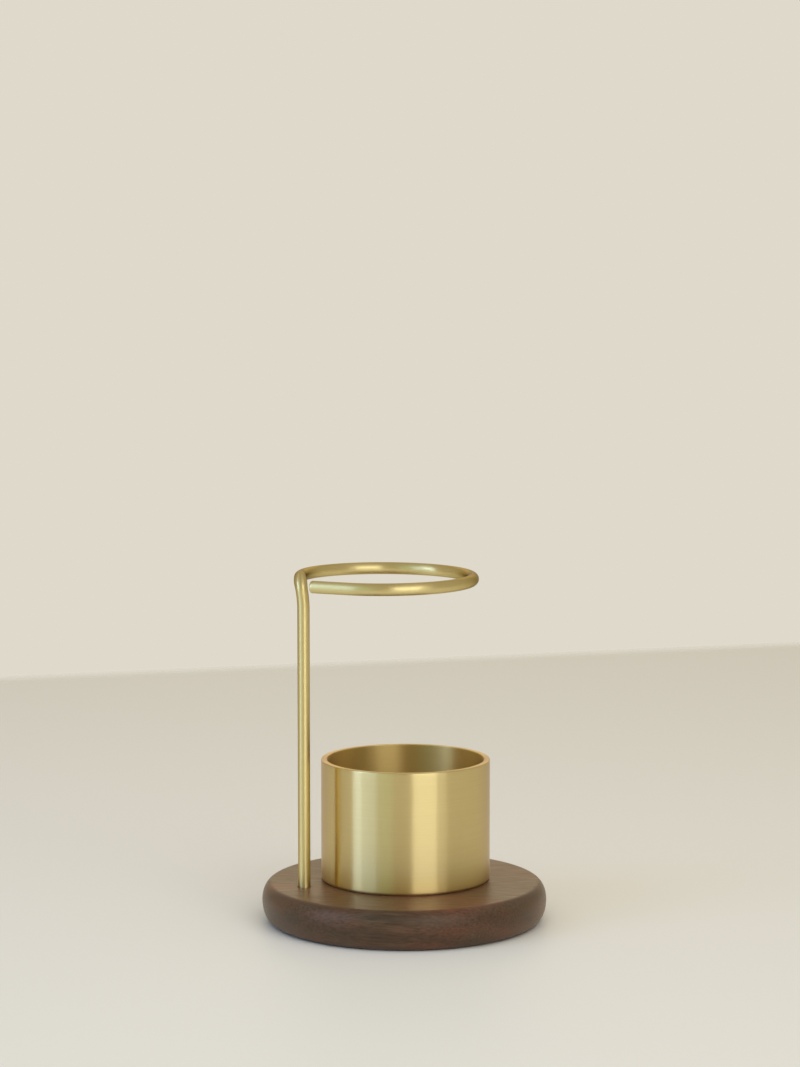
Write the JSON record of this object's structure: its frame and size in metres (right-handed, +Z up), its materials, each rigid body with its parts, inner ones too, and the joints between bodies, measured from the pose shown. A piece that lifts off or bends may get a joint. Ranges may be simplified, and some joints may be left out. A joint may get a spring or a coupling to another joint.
{
  "type": "pen holder",
  "caption": "Desk pen holder with a round walnut base, a straight-walled brass cup and a bent brass wire ring that keeps a leaning pen upright.",
  "frame": {"origin": "centre of the underside, on the surface the holder stands on", "axes": "+Z up, -Y the front that the picture shows, +X to the right; the wire post stands at the left"},
  "size_m": [0.0706, 0.0706, 0.0877],
  "materials": {
    "walnut": "sanded walnut with a satin oil finish",
    "turned_brass": "turned and brushed round the axis, unlacquered",
    "brass_wire": "drawn brass rod, lightly brushed along its length",
    "zinc_steel": "bright zinc plate",
    "felt": "pressed felt"
  },
  "bodies": {
    "base": {"walnut_base": "walnut", "brass_cup": "turned_brass", "cup_screw": "zinc_steel", "cup_washer": "zinc_steel", "felt_pad": "felt"},
    "stand": {"ring_stand": "brass_wire"}
  },
  "joints": [
    {"name": "ring_swivel", "type": "hinge", "parent": "base", "child": "stand", "pos_m": [-0.0246, -0.0076, 0.0098], "axis": [0, 0, 1], "continuous": true}
  ]
}
